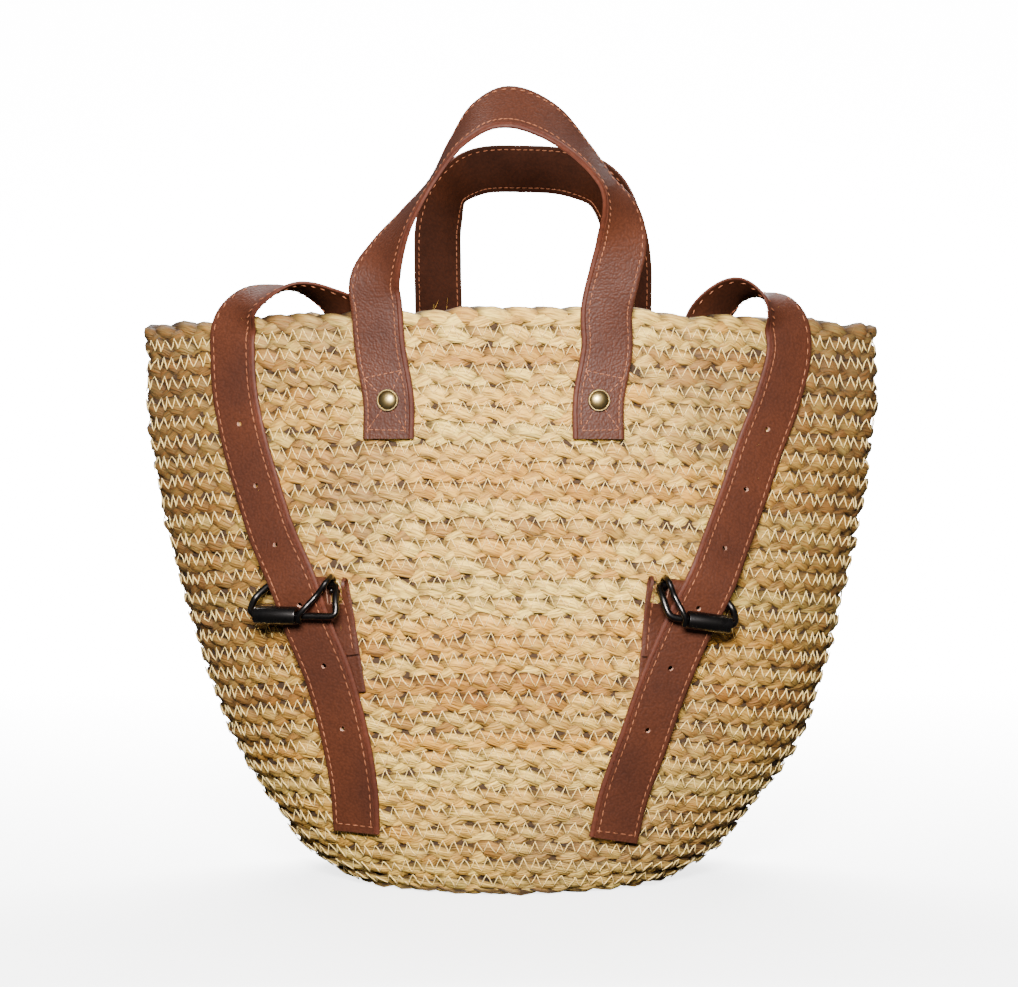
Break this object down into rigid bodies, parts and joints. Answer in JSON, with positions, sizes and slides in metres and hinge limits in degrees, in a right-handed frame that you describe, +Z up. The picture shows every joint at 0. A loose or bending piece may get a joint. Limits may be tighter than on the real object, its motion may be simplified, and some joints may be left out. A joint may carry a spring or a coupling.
{
  "type": "woven straw backpack",
  "caption": "Open basket backpack of plaited straw sewn in rows, with leather hand handles and buckled leather shoulder straps, for carrying shopping or beach things.",
  "frame": {"origin": "centre of the underside of the base", "axes": "+Z up, the front with the buckled shoulder straps towards -Y, +X to the right of someone who looks at the front"},
  "size_m": [0.402, 0.1729, 0.4259],
  "materials": {
    "straw": "rough plaited straw, sewn with pale thread",
    "leather": "satin pebbled grain",
    "brass": "aged, half polished",
    "gunmetal": "dark plated, smooth"
  },
  "bodies": {
    "root": {"basket": "straw", "rim_braid": "straw", "handle_front": "leather", "handle_back": "leather", "shoulder_strap_left": "leather", "shoulder_strap_right": "leather", "buckle_tab_left": "leather", "buckle_tab_right": "leather", "rivet_front_left": "brass", "rivet_front_right": "brass", "rivet_back_left": "brass", "rivet_back_right": "brass", "buckle_frame_left": "gunmetal", "buckle_frame_right": "gunmetal", "buckle_roller_left": "gunmetal", "buckle_roller_right": "gunmetal", "buckle_prong_left": "gunmetal", "buckle_prong_right": "gunmetal"}
  },
  "joints": []
}
